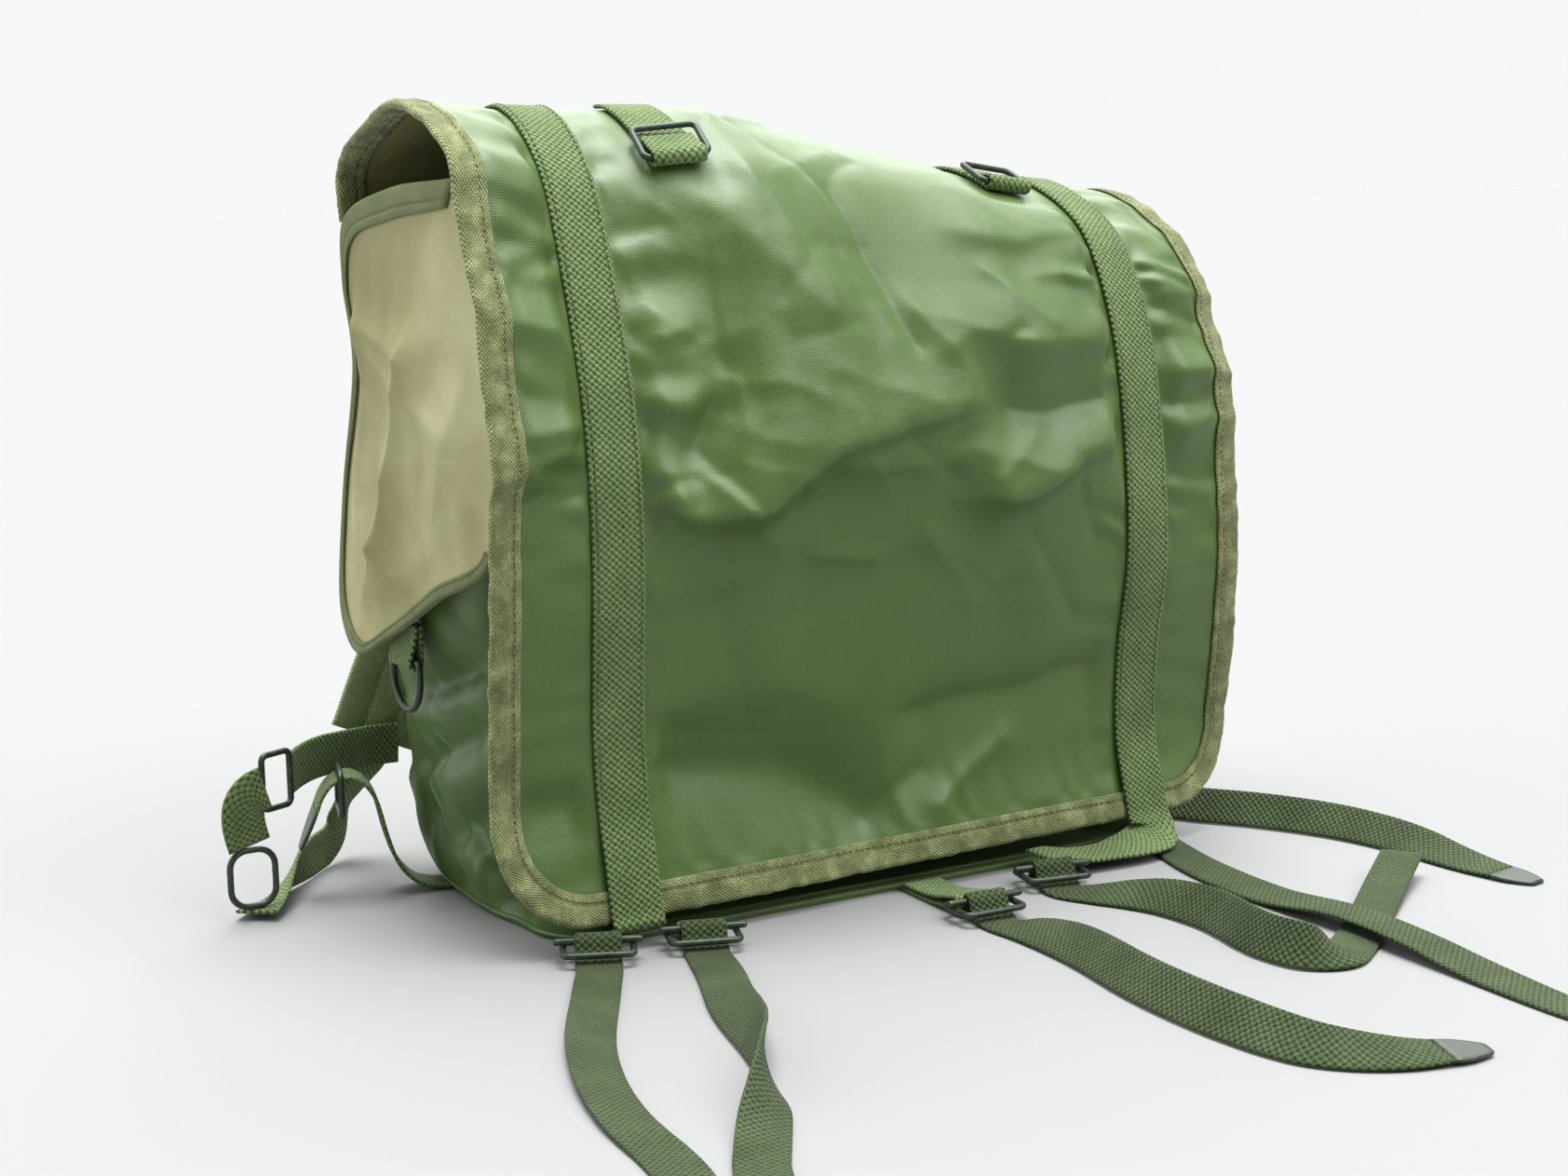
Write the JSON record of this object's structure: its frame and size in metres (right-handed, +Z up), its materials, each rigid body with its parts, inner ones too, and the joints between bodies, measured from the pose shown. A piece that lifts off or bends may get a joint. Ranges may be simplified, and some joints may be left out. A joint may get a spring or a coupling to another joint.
{
  "type": "military rucksack",
  "caption": "Soft open-topped rucksack with a long bound lid over its front, side flaps, webbing straps with steel buckles and padded shoulder straps, standing on its base.",
  "frame": {"origin": "middle of the flat base of the bag, on the surface that it stands on", "axes": "+X to the right seen from the front, +Y to the back panel, +Z up"},
  "size_m": [0.5348, 0.5257, 0.3637],
  "materials": {
    "coated_cloth": "satin coated cloth",
    "lining": "matt uncoated cloth",
    "binding_tape": "matt twill tape",
    "webbing": "matt woven webbing",
    "steel": "worn satin paint"
  },
  "bodies": {
    "bag": {"body": "coated_cloth", "lid": "coated_cloth", "lid_binding": "binding_tape", "lid_strap_left": "webbing", "lid_strap_right": "webbing", "side_flap_left": "lining", "side_flap_right": "lining", "side_flap_binding_left": "binding_tape", "side_flap_binding_right": "binding_tape", "top_tab_left": "webbing", "top_tab_right": "webbing", "ring_tab_left": "webbing", "ring_tab_right": "webbing", "buckle_outer_left": "steel", "buckle_bar_outer_left": "steel", "floor_strap_outer_left": "webbing", "buckle_inner_left": "steel", "buckle_bar_inner_left": "steel", "buckle_tab_inner_left": "webbing", "floor_strap_inner_left": "webbing", "floor_strap_inner_left_tip": "steel", "buckle_inner_right": "steel", "buckle_bar_inner_right": "steel", "buckle_tab_inner_right": "webbing", "floor_strap_inner_right": "webbing", "floor_strap_inner_right_tip": "steel", "buckle_outer_right": "steel", "buckle_bar_outer_right": "steel", "floor_strap_outer_right": "webbing", "base_strap_right": "webbing", "shoulder_lower_right": "webbing", "shoulder_lower_right_tip": "steel", "shoulder_pad_left": "webbing", "shoulder_pad_right": "webbing", "shoulder_web_left": "webbing", "shoulder_buckle_left": "steel", "shoulder_link_left": "webbing", "shoulder_ring_left": "steel", "shoulder_floor_web_left": "webbing", "shoulder_adjuster_left": "steel", "shoulder_lower_left": "webbing", "shoulder_lower_left_tip": "steel", "shoulder_buckle_right": "steel"},
    "ring_left": {"d_ring_left": "steel"},
    "ring_right": {"d_ring_right": "steel"},
    "frame_left": {"top_frame_left": "steel"},
    "frame_right": {"top_frame_right": "steel"}
  },
  "joints": [
    {"name": "ring_left_swing", "type": "hinge", "parent": "bag", "child": "ring_left", "pos_m": [-0.19406, 0.012, 0.118], "axis": [0, 1, 0], "range_deg": [0, 90]},
    {"name": "ring_right_swing", "type": "hinge", "parent": "bag", "child": "ring_right", "pos_m": [0.19154, 0.012, 0.074], "axis": [0, -1, 0], "range_deg": [0, 90]},
    {"name": "frame_left_swing", "type": "hinge", "parent": "bag", "child": "frame_left", "pos_m": [-0.08407, -0.05326, 0.33845], "axis": [0.9862, -0.142, 0.0854], "range_deg": [0, 120]},
    {"name": "frame_right_swing", "type": "hinge", "parent": "bag", "child": "frame_right", "pos_m": [0.10683, -0.03195, 0.3233], "axis": [0.9878, 0.0631, -0.1424], "range_deg": [0, 120]}
  ]
}
